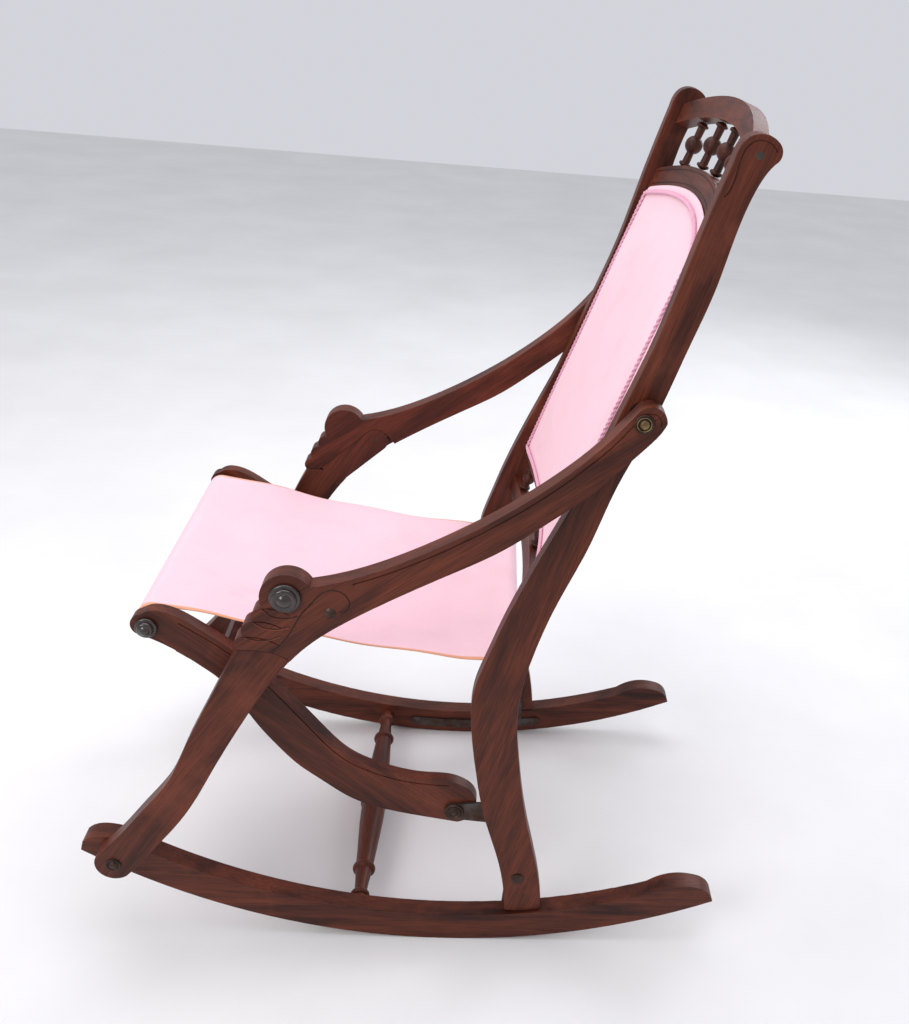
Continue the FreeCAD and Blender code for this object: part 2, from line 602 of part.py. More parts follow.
for side, hand in ((-1, "left"), (1, "right")):
    rail = board(
        "seat_rail_" + hand, side, rail_path, "dims.rail_inner", "dims.rail_thick",
        holes=[(SEAT_PIN, "dims.seat_pin_radius + dims.pin_clear", 4.06)])
    ease_faces(rail, V(0, 1, 0))
    bead = shifted(rail_top[3:-1], -6.0)
    bead_low = shifted(rail_top[3:-1], -7.4)
    outer_groove(rail, side, [
        bead[0], ("curve", bead[1:]), ("line", bead_low[-1]), ("curve", bead_low[-2::-1]), ("line", bead[0]),
    ], sizes["rail_thick"], name="bead")
    button = turned(
        "roller_button_" + hand, (FRONT_ROLLER[0], side * rail_outer, FRONT_ROLLER[1]), facing(side),
        [(0, 0), ("line", (11.0, 0)), ("arc", (12.2, 1.8), (11.0, 3.6)), ("line", (9.0, 4.0)),
         ("arc", (8.2, 7.6), (6.0, 8.6)), dome(6.0, 8.6, 2.8), ("line", (0, 0))])

roller = make_body("front_roller", FRONT_ROLLER[0], sizes["rail_inner"], FRONT_ROLLER[1], FreeCAD.Rotation(V(1, 0, 0), 90))
add_shank(roller, "dims.front_roller_radius", "2 * dims.rail_inner", 0.0)

cross = make_body("seat_cross_rail", -205.0, 0, 384.0, FreeCAD.Rotation(V(0, 1, 0), 40))
sk = make_sketch(cross, "section")
w = sizes["cross_rail_wide"] / 2
h = sizes["cross_rail_deep"] / 2
draw(sk, [(-w, -h), ("line", (w, -h)), ("line", (w, h)), ("line", (-w, h)), ("line", (-w, -h))])
pad(cross, sk, "2 * dims.rail_inner", both=True)

# Sling seat: one hanging width of cloth carried round both rollers, with a gentle sag.
gap = 0.3
cloth = sizes["cloth_thick"]
fr = sizes["front_roller_radius"] + gap
rr = sizes["rear_roller_radius"] + gap
sag = [(-230.0, 428.0), (-165.0, 414.2), (-100.0, 402.6), (-35.0, 393.0), (30.0, 386.0), (75.0, 383.6)]
sling = make_body("seat_sling")
sk = make_sketch(sling, "section")
outer_front = polar(FRONT_ROLLER, fr + cloth, 84)
outer_rear = polar(REAR_ROLLER, rr + cloth, 92)
draw(sk, [
    outer_front, ("curve", [(x, z + cloth) for x, z in sag] + [outer_rear]),
    ("arc", polar(REAR_ROLLER, rr + cloth, 0), polar(REAR_ROLLER, rr + cloth, 262)),
    ("line", polar(REAR_ROLLER, rr, 262)),
    ("arc", polar(REAR_ROLLER, rr, 0), polar(REAR_ROLLER, rr, 92)),
    ("curve", list(reversed(sag)) + [polar(FRONT_ROLLER, fr, 84)]),
    ("arc", polar(FRONT_ROLLER, fr, 180), polar(FRONT_ROLLER, fr, 280)),
    ("line", polar(FRONT_ROLLER, fr + cloth, 280)),
    ("arc", polar(FRONT_ROLLER, fr + cloth, 180), outer_front),
])
cloth_pad = sling.newObject("PartDesign::Pad", "sling_pad")
cloth_pad.Profile = sk
cloth_pad.Length = 2 * (sizes["rail_inner"] - 4.7)
cloth_pad.Midplane = True
sling.Tip = cloth_pad

doc.recompute()
os.makedirs("parts", exist_ok=True)
wrong = []
for obj in doc.Objects:
    if "Invalid" in obj.State or "Error" in obj.State:
        wrong.append(obj.Name + " " + str(obj.State))
for body in bodies:
    shape = body.Shape
    if shape.isNull() or not shape.isValid() or shape.Volume <= 0:
        wrong.append(body.Label + " has no valid solid")
    elif len(shape.Solids) != 1:
        wrong.append(body.Label + " has %d solids" % len(shape.Solids))
if wrong:
    raise RuntimeError("; ".join(wrong))
for body in bodies:
    body.Shape.exportStep("parts/%s.step" % body.Label)
print(len(bodies), "parts written")
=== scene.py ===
# Dresses the folding rocker: stained wood, iron and brass, a sling seat and an upholstered back.
import bpy
import bmesh
import math
from mathutils import Matrix, Vector


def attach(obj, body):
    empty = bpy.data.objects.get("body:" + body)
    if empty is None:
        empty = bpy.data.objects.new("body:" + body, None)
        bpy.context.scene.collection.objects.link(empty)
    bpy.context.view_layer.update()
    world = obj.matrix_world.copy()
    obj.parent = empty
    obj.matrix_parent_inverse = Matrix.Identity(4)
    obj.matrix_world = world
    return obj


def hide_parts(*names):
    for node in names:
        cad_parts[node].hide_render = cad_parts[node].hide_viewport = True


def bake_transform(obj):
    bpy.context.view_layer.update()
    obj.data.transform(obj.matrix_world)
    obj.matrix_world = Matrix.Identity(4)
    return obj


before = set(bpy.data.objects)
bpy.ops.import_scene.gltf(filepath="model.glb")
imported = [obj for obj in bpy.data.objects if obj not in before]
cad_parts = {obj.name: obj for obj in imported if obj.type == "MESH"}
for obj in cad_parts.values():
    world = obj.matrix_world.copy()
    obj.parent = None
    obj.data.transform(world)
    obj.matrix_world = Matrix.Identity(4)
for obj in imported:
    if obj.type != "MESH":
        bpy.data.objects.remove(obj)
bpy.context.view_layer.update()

bl_info = {
    "name": "Folding rocker",
    "version": (1, 0, 0),
    "blender": (4, 5, 0),
    "location": "3D View > Sidebar > Rocker",
    "description": "Finishes and soft pieces for a folding sling-seat rocking chair",
    "category": "Object",
}

# Places shared by several pieces, in metres: X to the back of the chair, Z up.
BACK_FOOT = Vector((0.1243, 0.0, 0.5007))
BACK_LEAN = math.radians(19.2)
HALF_GAP = 0.1963
FRONT_ROLLER = (-0.2898, 0.4230)
REAR_ROLLER = (0.1035, 0.3710)
SHOULDER = (0.2145, 0.7119)
HANDS = (("left", -1), ("right", 1))
BOW = 0.018
ARCH = 0.034
PANEL_HALF = 0.1905
PANEL_LOW = -0.0075
PANEL_TOP = 0.3822
ARM_FACE = 0.2424


class RockerFinish(bpy.types.PropertyGroup):
    wood_dark: bpy.props.FloatVectorProperty(
        name="Dark stain", description="Darkest tone of the stained wood", subtype="COLOR",
        size=3, min=0.0, max=1.0, default=(0.027, 0.0056, 0.0028))
    wood_light: bpy.props.FloatVectorProperty(
        name="Light stain", description="Lightest tone of the stained wood", subtype="COLOR",
        size=3, min=0.0, max=1.0, default=(0.155, 0.034, 0.0145))
    turning_tone: bpy.props.FloatVectorProperty(
        name="Turnings", description="Near-black polish on buttons and spindle balls", subtype="COLOR",
        size=3, min=0.0, max=1.0, default=(0.012, 0.0065, 0.0052))
    cloth_tone: bpy.props.FloatVectorProperty(
        name="Cloth", description="Main colour of the seat and back cloth", subtype="COLOR",
        size=3, min=0.0, max=1.0, default=(0.85, 0.545, 0.60))
    cloth_shade: bpy.props.FloatVectorProperty(
        name="Cloth shade", description="Deeper tone in the nap of the cloth", subtype="COLOR",
        size=3, min=0.0, max=1.0, default=(0.82, 0.50, 0.55))
    braid_tone: bpy.props.FloatVectorProperty(
        name="Braid", description="Colour of the gimp braid", subtype="COLOR",
        size=3, min=0.0, max=1.0, default=(0.70, 0.36, 0.47))
    selvage_tone: bpy.props.FloatVectorProperty(
        name="Selvage", description="Orange thread along the edges of the cloth", subtype="COLOR",
        size=3, min=0.0, max=1.0, default=(0.72, 0.33, 0.19))


class RockerCloth(bpy.types.PropertyGroup):
    sling_width: bpy.props.FloatProperty(
        name="Sling width", description="Width of the hanging seat cloth", unit="LENGTH",
        min=0.2, max=0.5, default=0.346)
    sling_sag: bpy.props.FloatProperty(
        name="Sling sag", description="Extra sag along the middle of the seat", unit="LENGTH",
        min=0.0, max=0.03, default=0.006)
    panel_puff: bpy.props.FloatProperty(
        name="Panel puff", description="How far the padded back may swell", unit="LENGTH",
        min=0.0, max=0.02, default=0.006)
    braid_width: bpy.props.FloatProperty(
        name="Braid width", description="Width of the gimp braid", unit="LENGTH",
        min=0.002, max=0.02, default=0.009)


def finish():
    return bpy.context.scene.rocker_finish


def cloth():
    return bpy.context.scene.rocker_cloth


def on_back(x, y, z):
    # A point of the leaning back: x rearwards from its front face, z up along the posts.
    c, s = math.cos(BACK_LEAN), math.sin(BACK_LEAN)
    return Vector((BACK_FOOT.x + x * c + z * s, y, BACK_FOOT.z - x * s + z * c))


def bow(y):
    return BOW * (1 - (y / HALF_GAP) ** 2)


def arch(y):
    return ARCH * (1 - (y / HALF_GAP) ** 2)


# Node helpers
def new_finish(name):
    material = bpy.data.materials.new(name)
    material.use_nodes = True
    nodes = material.node_tree.nodes
    shader = nodes["Principled BSDF"]
    return material, nodes, material.node_tree.links, shader


def object_mapping(nodes, links, turn=(0, 0, 0), stretch=(1, 1, 1)):
    # Turned first and stretched after, so that the stretch follows the turned axis.
    place = nodes.new("ShaderNodeTexCoord")
    turned = nodes.new("ShaderNodeMapping")
    turned.inputs["Rotation"].default_value = turn
    links.new(place.outputs["Object"], turned.inputs["Vector"])
    mapping = nodes.new("ShaderNodeMapping")
    mapping.inputs["Scale"].default_value = stretch
    links.new(turned.outputs["Vector"], mapping.inputs["Vector"])
    return mapping.outputs["Vector"]


def noise(nodes, links, vector, scale, detail=4.0, roughness=0.55, distortion=0.0):
    node = nodes.new("ShaderNodeTexNoise")
    node.inputs["Scale"].default_value = scale
    node.inputs["Detail"].default_value = detail
    node.inputs["Roughness"].default_value = roughness
    node.inputs["Distortion"].default_value = distortion
    links.new(vector, node.inputs["Vector"])
    return node.outputs["Fac"]


def ramp(nodes, links, source, stops):
    node = nodes.new("ShaderNodeValToRGB")
    while len(node.color_ramp.elements) < len(stops):
        node.color_ramp.elements.new(0.5)
    for element, (place, colour) in zip(node.color_ramp.elements, stops):
        element.position = place
        element.color = (*colour[:3], 1.0)
    links.new(source, node.inputs["Fac"])
    return node.outputs["Color"]


def mix_colour(nodes, links, factor, first, second, blend="MIX"):
    node = nodes.new("ShaderNodeMix")
    node.data_type = "RGBA"
    node.blend_type = blend
    if isinstance(factor, float):
        node.inputs[0].default_value = factor
    else:
        links.new(factor, node.inputs[0])
    for socket, value in ((6, first), (7, second)):
        if isinstance(value, (tuple, list)):
            node.inputs[socket].default_value = (*value[:3], 1.0)
        else:
            links.new(value, node.inputs[socket])
    return node.outputs[2]


def maths(nodes, links, operation, first, second=0.0):
    node = nodes.new("ShaderNodeMath")
    node.operation = operation
    for socket, value in ((0, first), (1, second)):
        if isinstance(value, (int, float)):
            node.inputs[socket].default_value = value
        else:
            links.new(value, node.inputs[socket])
    return node.outputs[0]


def bump(nodes, links, shader, height, strength, distance):
    node = nodes.new("ShaderNodeBump")
    node.inputs["Strength"].default_value = strength
    node.inputs["Distance"].default_value = distance
    links.new(height, node.inputs["Height"])
    links.new(node.outputs["Normal"], shader.inputs["Normal"])


def stained_wood(name, along, shade=1.0):
    # Open-grained wood under a dark stain and worn varnish; along is the grain's direction. shade scales
    # every tone, and the carving uses it for a darker copy of painted shade and a lighter copy of painted
    # highlight.
    material, nodes, links, shader = new_finish(name)
    direction = Vector(along).normalized()
    turn = direction.rotation_difference(Vector((1, 0, 0))).to_euler()
    vector = object_mapping(nodes, links, turn=turn, stretch=(1.0, 9.0, 9.0))
    broad = noise(nodes, links, vector, 5.5, detail=5.0, distortion=0.6)
    fine_vector = object_mapping(nodes, links, turn=turn, stretch=(1.0, 28.0, 28.0))
    pores = noise(nodes, links, fine_vector, 22.0, detail=3.0, roughness=0.7)
    dark = tuple(c * shade for c in finish().wood_dark)
    light = tuple(c * shade for c in finish().wood_light)
    middle = tuple(a * 0.45 + b * 0.55 for a, b in zip(dark, light))
    colour = ramp(nodes, links, broad, [(0.28, dark), (0.52, middle), (0.78, light)])
    streak = ramp(nodes, links, pores, [(0.38, (0.45, 0.40, 0.40)), (0.56, (1.0, 1.0, 1.0))])
    colour = mix_colour(nodes, links, 0.75, colour, streak, "MULTIPLY")
    plain = object_mapping(nodes, links)
    dust = noise(nodes, links, plain, 7.0, detail=6.0, roughness=0.62)
    # Here the mask is real wear: lighter patches of rubbed varnish scattered by noise.
    wear_and_highlight = ramp(nodes, links, dust, [(0.56, (0.0, 0.0, 0.0)), (0.78, (0.55, 0.55, 0.55))])
    colour = mix_colour(nodes, links, wear_and_highlight, colour, tuple(c * 1.5 + 0.008 for c in light))
    links.new(colour, shader.inputs["Base Color"])
    rough = nodes.new("ShaderNodeMapRange")
    rough.inputs["To Min"].default_value = 0.38
    rough.inputs["To Max"].default_value = 0.60
    links.new(dust, rough.inputs["Value"])
    links.new(rough.outputs["Result"], shader.inputs["Roughness"])
    shader.inputs["Coat Weight"].default_value = 0.08
    shader.inputs["Coat Roughness"].default_value = 0.30
    shader.inputs["Specular IOR Level"].default_value = 0.20
    bump(nodes, links, shader, pores, 0.22, 0.0006)
    return material


def polished_turning(name):
    material, nodes, links, shader = new_finish(name)
    plain = object_mapping(nodes, links)
    smudge = noise(nodes, links, plain, 45.0, detail=4.0)
    base = finish().turning_tone
    rubbed = tuple(c * 2.6 + 0.006 for c in base)
    colour = ramp(nodes, links, smudge, [(0.35, base), (0.75, rubbed)])
    links.new(colour, shader.inputs["Base Color"])
    rough = ramp(nodes, links, smudge, [(0.3, (0.12, 0.12, 0.12)), (0.8, (0.34, 0.34, 0.34))])
    links.new(rough, shader.inputs["Roughness"])
    shader.inputs["Coat Weight"].default_value = 0.3
    shader.inputs["Coat Roughness"].default_value = 0.12
    bump(nodes, links, shader, smudge, 0.08, 0.0004)
    return material


def old_metal(name, clean, tarnish, metallic, rough_low, rough_high):
    material, nodes, links, shader = new_finish(name)
    plain = object_mapping(nodes, links)
    patches = noise(nodes, links, plain, 60.0, detail=6.0, roughness=0.65)
    grit = noise(nodes, links, plain, 420.0, detail=2.0)
    colour = ramp(nodes, links, patches, [(0.36, tarnish), (0.64, clean)])
    links.new(colour, shader.inputs["Base Color"])
    shader.inputs["Metallic"].default_value = metallic
    rough = nodes.new("ShaderNodeMapRange")
    rough.inputs["To Min"].default_value = rough_high
    rough.inputs["To Max"].default_value = rough_low
    links.new(patches, rough.inputs["Value"])
    links.new(rough.outputs["Result"], shader.inputs["Roughness"])
    height = maths(nodes, links, "ADD", patches, maths(nodes, links, "MULTIPLY", grit, 0.4))
    bump(nodes, links, shader, height, 0.35, 0.0005)
    return material


def plush_cloth(name, tone, shade, weave=900.0, selvage_at=None):
    # Short-piled cloth: a fine rib, cloudy nap and a soft sheen.
    material, nodes, links, shader = new_finish(name)
    plain = object_mapping(nodes, links)
    nap = noise(nodes, links, plain, 16.0, detail=6.0, roughness=0.6, distortion=0.4)
    fleck = noise(nodes, links, plain, weave, detail=2.0, roughness=0.6)
    rib = nodes.new("ShaderNodeTexWave")
    rib.wave_type = "BANDS"
    rib.bands_direction = "Y"
    rib.inputs["Scale"].default_value = 160.0
    rib.inputs["Distortion"].default_value = 0.8
    rib.inputs["Detail"].default_value = 2.0
    links.new(plain, rib.inputs["Vector"])
    bright = tuple(min(1.0, c * 1.06) for c in tone)
    colour = ramp(nodes, links, nap, [(0.20, shade), (0.44, tone), (0.86, bright)])
    speck = ramp(nodes, links, fleck, [(0.35, (0.86, 0.83, 0.84)), (0.62, (1.0, 1.0, 1.0))])
    colour = mix_colour(nodes, links, 0.5, colour, speck, "MULTIPLY")
    if selvage_at:
        axes = nodes.new("ShaderNodeSeparateXYZ")
        links.new(plain, axes.inputs[0])
        aside = maths(nodes, links, "ABSOLUTE", axes.outputs["Y"])
        band = nodes.new("ShaderNodeMapRange")
        band.inputs["From Min"].default_value = selvage_at - 0.0012
        band.inputs["From Max"].default_value = selvage_at
        links.new(aside, band.inputs["Value"])
        colour = mix_colour(nodes, links, band.outputs["Result"], colour, tuple(finish().selvage_tone))
    links.new(colour, shader.inputs["Base Color"])
    shader.inputs["Roughness"].default_value = 0.88
    shader.inputs["Sheen Weight"].default_value = 0.45
    shader.inputs["Sheen Roughness"].default_value = 0.4
    shader.inputs["Sheen Tint"].default_value = (1.0, 0.86, 0.92, 1.0)
    height = maths(nodes, links, "ADD", maths(nodes, links, "MULTIPLY", fleck, 0.7),
                   maths(nodes, links, "MULTIPLY", rib.outputs["Fac"], 0.35))
    height = maths(nodes, links, "ADD", height, maths(nodes, links, "MULTIPLY", nap, 0.5))
    bump(nodes, links, shader, height, 0.30, 0.0007)
    return material


def lining(name):
    material, nodes, links, shader = new_finish(name)
    plain = object_mapping(nodes, links)
    warp = nodes.new("ShaderNodeTexWave")
    warp.bands_direction = "Y"
    warp.inputs["Scale"].default_value = 260.0
    weft = nodes.new("ShaderNodeTexWave")
    weft.bands_direction = "Z"
    weft.inputs["Scale"].default_value = 260.0
    for wave in (warp, weft):
        wave.inputs["Distortion"].default_value = 1.2
        links.new(plain, wave.inputs["Vector"])
    stain = noise(nodes, links, plain, 9.0, detail=5.0)
    colour = ramp(nodes, links, stain, [(0.3, (0.20, 0.085, 0.075)), (0.7, (0.34, 0.17, 0.15))])
    links.new(colour, shader.inputs["Base Color"])
    shader.inputs["Roughness"].default_value = 0.92
    height = maths(nodes, links, "MAXIMUM", warp.outputs["Fac"], weft.outputs["Fac"])
    bump(nodes, links, shader, height, 0.35, 0.0005)
    return material


# Mesh helpers
def put_mesh(name, verts, faces, smooth=True):
    mesh = bpy.data.meshes.new(name)
    mesh.from_pydata([tuple(v) for v in verts], [], faces)
    mesh.update()
    obj = bpy.data.objects.new(name, mesh)
    bpy.context.scene.collection.objects.link(obj)
    for polygon in mesh.polygons:
        polygon.use_smooth = smooth
    return obj


def choose(obj):
    bpy.ops.object.select_all(action="DESELECT")
    bpy.context.view_layer.objects.active = obj
    obj.select_set(True)


def give(obj, material):
    obj.data.materials.clear()
    obj.data.materials.append(material)


def settle(obj):
    # Puts the object's place, turn and size into its mesh.
    choose(obj)
    bpy.ops.object.transform_apply(location=True, rotation=True, scale=True)


def outward(obj):
    choose(obj)
    bpy.ops.object.mode_set(mode="EDIT")
    bpy.ops.mesh.select_all(action="SELECT")
    bpy.ops.mesh.remove_doubles(threshold=1e-6)
    bpy.ops.mesh.normals_make_consistent(inside=False)
    bpy.ops.object.mode_set(mode="OBJECT")


def lathe(name, place, side, outline, steps=40):
    # Turns an outline of radius and distance from the middle plane into a stud or ring.
    verts = []
    for radius, reach in outline:
        for k in range(steps):
            a = math.tau * k / steps
            verts.append((place[0] + radius * math.cos(a), side * reach, place[1] + radius * math.sin(a)))
    rows = len(outline)
    last = rows - 1 if outline[0][0] == 0 else rows
    faces = []
    for i in range(last):
        j = (i + 1) % rows
        for k in range(steps):
            m = (k + 1) % steps
            faces.append((i * steps + k, i * steps + m, j * steps + m, j * steps + k))
    obj = put_mesh(name, verts, faces)
    outward(obj)
    return obj


def apply_all(obj):
    choose(obj)
    for modifier in list(obj.modifiers):
        bpy.ops.object.modifier_apply(modifier=modifier.name)


def node_finish(node_name, material):
    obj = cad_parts[node_name]
    for slot in obj.material_slots:
        slot.material = material


class ROCKER_OT_wood(bpy.types.Operator):
    """Stain and varnish on every wooden piece, with the grain along the board"""
    bl_idname = "rocker.wood"
    bl_label = "Stained wood"

    def execute(self, context):
        grains = {
            "runner_": (1, 0, 0), "post_": (0.28, 0, 1), "arm_": (0.8, 0, 0.62), "leg_": (0.55, 0, 0.83),
            "seat_rail_": (0.8, 0, -0.62),
        }
        for prefix, along in grains.items():
            for hand, _ in HANDS:
                wood = stained_wood("stain_%s%s" % (prefix, hand), along)
                node_finish(prefix + hand, wood)
        across = stained_wood("stain_across", (0, 1, 0))
        for name in ("crest_rail", "upper_rail", "panel_rail", "bottom_rail", "seat_cross_rail",
                     "front_roller", "rear_roller", "floor_stretcher"):
            node_finish(name, across)
        upright = stained_wood("stain_spindles", (0.33, 0, 0.94), 0.7)
        for i in range(1, 6):
            node_finish("crest_spindle_%d" % i, upright)
            node_finish("gallery_spindle_%d" % i, upright)
        return {"FINISHED"}


class ROCKER_OT_fittings(bpy.types.Operator):
    """Black turned buttons, iron straps and lugs, brass rivets and screws"""
    bl_idname = "rocker.fittings"
    bl_label = "Fittings"

    def execute(self, context):
        black = polished_turning("black_turning")
        iron = old_metal("strap_iron", (0.085, 0.075, 0.072), (0.060, 0.024, 0.014), 0.75, 0.42, 0.75)
        brass = old_metal("dull_brass", (0.36, 0.25, 0.12), (0.10, 0.060, 0.030), 0.9, 0.32, 0.6)
        browned = old_metal("browned_metal", (0.075, 0.042, 0.030), (0.022, 0.011, 0.008), 0.7, 0.30, 0.55)
        for hand, side in HANDS:
            for name in ("head_button_", "roller_button_", "scroll_plug_"):
                node_finish(name + hand, black)
            for name in ("hinge_strap_", "seat_lug_", "strap_bolt_front_", "strap_bolt_rear_",
                         "lug_screw_upper_", "lug_screw_lower_"):
                node_finish(name + hand, iron)
            for name in ("foot_pin_", "arm_bolt_", "seat_pin_", "knee_rivet_", "toe_rivet_"):
                node_finish(name + hand, browned)
            stud = lathe("arm_stud_" + hand, SHOULDER, side, [
                (0.0, 0.24775), (0.0017, 0.24754), (0.0033, 0.24692), (0.0046, 0.24601), (0.0046, 0.2452),
                (0.0, 0.2452)])
            ring = lathe("arm_ring_" + hand, SHOULDER, side, [
                (0.0069 + 0.0008 * math.cos(k * math.pi / 5), 0.2443 + 0.0008 * math.sin(k * math.pi / 5))
                for k in range(10)])
            for piece in (stud, ring):
                give(piece, brass)
                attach(piece, "back_frame")
        return {"FINISHED"}


def sling_line():
    # The cloth's outer line in the side view, from under the front roller to under the rear one.
    thick = 0.0033
    front = 0.013 + thick
    rear = 0.011 + thick
    points = []
    for step in range(15):
        a = math.radians(280 - step * 14)
        points.append((FRONT_ROLLER[0] + front * math.cos(a), FRONT_ROLLER[1] + front * math.sin(a)))
    sag = [(-0.230, 0.4312), (-0.165, 0.4172), (-0.100, 0.4056), (-0.035, 0.3960), (0.030, 0.3892),
           (0.075, 0.3868)]
    start, end = points[-1], (REAR_ROLLER[0], REAR_ROLLER[1] + rear)
    knots = [start] + sag + [end]
    for i in range(len(knots) - 1):
        p0 = knots[max(i - 1, 0)]
        p1, p2 = knots[i], knots[i + 1]
        p3 = knots[min(i + 2, len(knots) - 1)]
        for step in range(1, 7):
            t = step / 6
            point = []
            for k in (0, 1):
                point.append(0.5 * (2 * p1[k] + (p2[k] - p0[k]) * t
                                    + (2 * p0[k] - 5 * p1[k] + 4 * p2[k] - p3[k]) * t * t
                                    + (3 * p1[k] - p0[k] - 3 * p2[k] + p3[k]) * t ** 3))
            points.append(tuple(point))
    for step in range(1, 14):
        a = math.radians(90 - step * 14)
        points.append((REAR_ROLLER[0] + rear * math.cos(a), REAR_ROLLER[1] + rear * math.sin(a)))
    return points


class ROCKER_OT_sling(bpy.types.Operator):
    """The sling seat: a width of cloth over both rollers, with hemmed edges and a gentle sag"""
    bl_idname = "rocker.sling"
    bl_label = "Sling seat"

    def execute(self, context):
        line = sling_line()
        half = cloth().sling_width / 2
        across = 34
        verts = []
        for row, (x, z) in enumerate(line):
            from_front = max(0.0, min(1.0, (x - FRONT_ROLLER[0]) / 0.05))
            from_rear = max(0.0, min(1.0, (REAR_ROLLER[0] - x) / 0.05))
            free = from_front * from_rear if z > 0.38 else 0.0
            for column in range(across + 1):
                t = -1 + 2 * column / across
                y = t * half
                dip = cloth().sling_sag * (1 - t * t) * free
                ripple = 0.0009 * math.sin(row * 0.55 + 2.2 * t) * free * (0.35 + abs(t))
                draw_in = 0.004 * free * math.sin(math.pi * min(1.0, max(0.0, (x + 0.29) / 0.39)))
                verts.append((x, y * (1 - draw_in / half), z - dip + ripple))
        faces = []
        for row in range(len(line) - 1):
            for column in range(across):
                a = row * (across + 1) + column
                faces.append((a, a + across + 1, a + across + 2, a + 1))
        sling = put_mesh("seat_cloth", verts, faces)
        cloth_finish = plush_cloth("seat_plush", finish().cloth_tone, finish().cloth_shade,
                                   selvage_at=0.1672)
        give(sling, cloth_finish)
        solid = sling.modifiers.new("thickness", "SOLIDIFY")
        solid.thickness = 0.0026
        solid.offset = -1.0
        smooth = sling.modifiers.new("smooth", "SUBSURF")
        smooth.levels = smooth.render_levels = 1
        apply_all(sling)
        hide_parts("seat_sling")
        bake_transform(sling)
        return {"FINISHED"}


class ROCKER_OT_back_panel(bpy.types.Operator):
    """The upholstered back: a thin padded panel, swelled as cloth and held along its edges"""
    bl_idname = "rocker.back_panel"
    bl_label = "Upholstered back"

    def execute(self, context):
        wide, tall = 44, 46
        edge_zone = 0.10

        def layer(offset, edge):
            points = []
            for row in range(tall + 1):
                v = row / tall
                for column in range(wide + 1):
                    u = -1 + 2 * column / wide
                    y = u * PANEL_HALF
                    z = PANEL_LOW + (PANEL_TOP + arch(y) - PANEL_LOW) * v
                    near = min(1 - abs(u), 2 * v, 2 * (1 - v)) / edge_zone
                    lift = edge + (1 - edge) * min(1.0, max(0.0, near)) ** 0.5
                    points.append(on_back(0.0027 + bow(y) - offset * lift, y, z))
            return points

        front = layer(0.0060, 0.45)
        rear = layer(0.0, 0.0)
        count = len(front)
        faces = []
        for row in range(tall):
            for column in range(wide):
                a = row * (wide + 1) + column
                b = a + wide + 1
                faces.append((a, a + 1, b + 1, b))
                faces.append((count + a, count + b, count + b + 1, count + a + 1))
        rim = list(range(wide + 1))
        rim += [r * (wide + 1) + wide for r in range(1, tall + 1)]
        rim += [tall * (wide + 1) + c for c in range(wide - 1, -1, -1)]
        rim += [r * (wide + 1) for r in range(tall - 1, 0, -1)]
        for a, b in zip(rim, rim[1:] + rim[:1]):
            faces.append((a, count + a, count + b, b))
        panel = put_mesh("back_cloth", front + rear, faces)
        outward(panel)
        rest = [v.co.copy() for v in panel.data.vertices]
        held = panel.vertex_groups.new(name="held")
        normal = (on_back(1, 0, 0) - on_back(0, 0, 0)).normalized()
        fixed = set(range(count, 2 * count)) | set(rim)
        held.add(list(fixed), 1.0, "REPLACE")
        choose(panel)
        cloth_mod = panel.modifiers.new("cloth", "CLOTH")
        settings = cloth_mod.settings
        settings.vertex_group_mass = "held"
        settings.use_pressure = True
        settings.uniform_pressure_force = 3.0
        settings.effector_weights.gravity = 0.0
        settings.tension_stiffness = 12.0
        settings.compression_stiffness = 12.0
        settings.bending_stiffness = 1.0
        settings.quality = 5
        for step in range(1, 21):
            bpy.context.scene.frame_set(step)
        bpy.ops.object.modifier_apply(modifier="cloth")
        bpy.context.scene.frame_set(1)
        cap = cloth().panel_puff
        for vertex, before in zip(panel.data.vertices, rest):
            moved = (vertex.co - before).dot(normal)
            moved = max(-cap, min(0.0, moved))
            vertex.co = before + normal * moved
        smooth = panel.modifiers.new("smooth", "SUBSURF")
        smooth.levels = smooth.render_levels = 1
        apply_all(panel)
        give(panel, plush_cloth("back_plush", finish().cloth_tone, finish().cloth_shade, selvage_at=0.1868))
        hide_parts("back_panel")
        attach(panel, "back_frame")
        return {"FINISHED"}


class ROCKER_OT_back_lining(bpy.types.Operator):
    """The lining stretched over the back of the panel"""
    bl_idname = "rocker.back_lining"
    bl_label = "Back lining"

    def execute(self, context):
        wide, tall = 26, 26
        low, high = -0.0115, 0.3975
        verts = []
        for row in range(tall + 1):
            v = row / tall
            for column in range(wide + 1):
                u = -1 + 2 * column / wide
                y = u * PANEL_HALF
                z = low + (high + arch(y) - low) * v
                hollow = 0.0016 * math.sin(math.pi * v) * (1 - u * u)
                verts.append(on_back(0.0205 + bow(y) - hollow, y, z))
        faces = []
        for row in range(tall):
            for column in range(wide):
                a = row * (wide + 1) + column
                faces.append((a, a + wide + 1, a + wide + 2, a + 1))
        back = put_mesh("lining_cloth", verts, faces)
        give(back, lining("lining_weave"))
        solid = back.modifiers.new("thickness", "SOLIDIFY")
        solid.thickness = 0.0018
        solid.offset = 0.0
        smooth = back.modifiers.new("smooth", "SUBSURF")
        smooth.levels = smooth.render_levels = 1
        apply_all(back)
        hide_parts("back_lining")
        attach(back, "back_frame")
        return {"FINISHED"}


